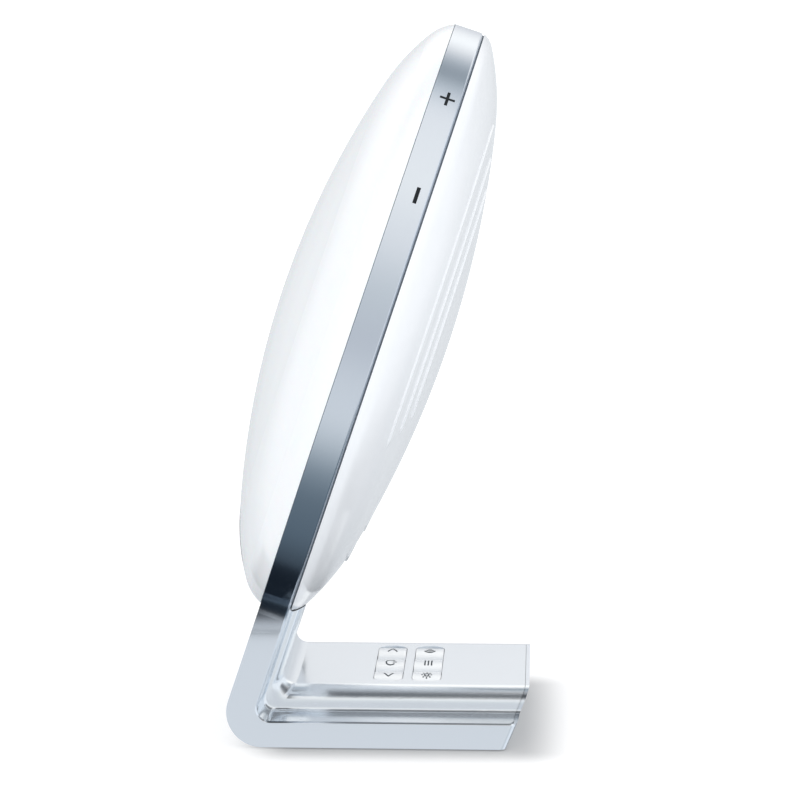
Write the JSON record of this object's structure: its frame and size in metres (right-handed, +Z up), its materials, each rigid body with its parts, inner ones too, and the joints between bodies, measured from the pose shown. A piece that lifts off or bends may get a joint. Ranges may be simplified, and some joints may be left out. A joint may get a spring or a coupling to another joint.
{
  "type": "sunrise alarm clock",
  "caption": "Round lens-shaped wake-up lamp in a silver hoop, leaning back on an L-shaped stand with key rows, touch marks, light board, speaker and sockets.",
  "frame": {"origin": "on the table under the middle of the object's bounding box", "axes": "+Z up, -Y is the front where the light shines out, +X is the side with the plus and minus marks"},
  "size_m": [0.252, 0.1234, 0.2911],
  "materials": {
    "silver": "satin silver lacquer on plastic",
    "silver_cover": "satin silver lacquer on plastic",
    "opal": "glossy opal white, lets light through",
    "white": "glossy white",
    "reflector_white": "white",
    "board": "green solder mask",
    "chip_yellow": "yellow phosphor",
    "black_plastic": "matt black",
    "copper_foil": "amber film",
    "ribbon": "white film cable",
    "silicone": "translucent grey silicone",
    "foam": "black foam",
    "steel": "zinc-plated steel",
    "paper": "black paper",
    "ferrite": "dark ferrite",
    "rubber": "matt dark grey rubber",
    "key_white": "glossy silver-white"
  },
  "bodies": {
    "clock": {"frame": "silver", "stand_cover": "silver_cover", "front_diffuser": "opal", "rear_shell": "white", "reflector": "reflector_white", "light_board": "board", "light_chips": "chip_yellow", "display_housing": "black_plastic", "display_module": "black_plastic", "main_board": "board", "board_parts": "black_plastic", "power_socket": "black_plastic", "audio_socket": "black_plastic", "touch_strip": "copper_foil", "ribbon_cable": "ribbon", "key_mat": "silicone", "key_board": "board", "speaker_gasket": "foam", "speaker_basket": "steel", "speaker_cone": "paper", "speaker_magnet": "ferrite", "ballast_plate": "steel", "rubber_strips": "rubber", "reflector_screws": "steel", "main_board_screws": "steel", "key_board_screws": "steel", "cover_screws": "steel"},
    "key_arrow_left": {"key_arrow_left": "key_white"},
    "key_mode": {"key_mode": "key_white"},
    "key_arrow_right": {"key_arrow_right": "key_white"},
    "key_sound": {"key_sound": "key_white"},
    "key_menu": {"key_menu": "key_white"},
    "key_lamp": {"key_lamp": "key_white"}
  },
  "joints": [
    {"name": "key_arrow_left_press", "type": "slide", "parent": "clock", "child": "key_arrow_left", "axis": [0, 0, -1], "range_m": [0, 0.0006], "stiffness_N_per_m": 600},
    {"name": "key_mode_press", "type": "slide", "parent": "clock", "child": "key_mode", "axis": [0, 0, -1], "range_m": [0, 0.0006], "stiffness_N_per_m": 600},
    {"name": "key_arrow_right_press", "type": "slide", "parent": "clock", "child": "key_arrow_right", "axis": [0, 0, -1], "range_m": [0, 0.0006], "stiffness_N_per_m": 600},
    {"name": "key_sound_press", "type": "slide", "parent": "clock", "child": "key_sound", "axis": [0, 0, -1], "range_m": [0, 0.0006], "stiffness_N_per_m": 600},
    {"name": "key_menu_press", "type": "slide", "parent": "clock", "child": "key_menu", "axis": [0, 0, -1], "range_m": [0, 0.0006], "stiffness_N_per_m": 600},
    {"name": "key_lamp_press", "type": "slide", "parent": "clock", "child": "key_lamp", "axis": [0, 0, -1], "range_m": [0, 0.0006], "stiffness_N_per_m": 600}
  ]
}
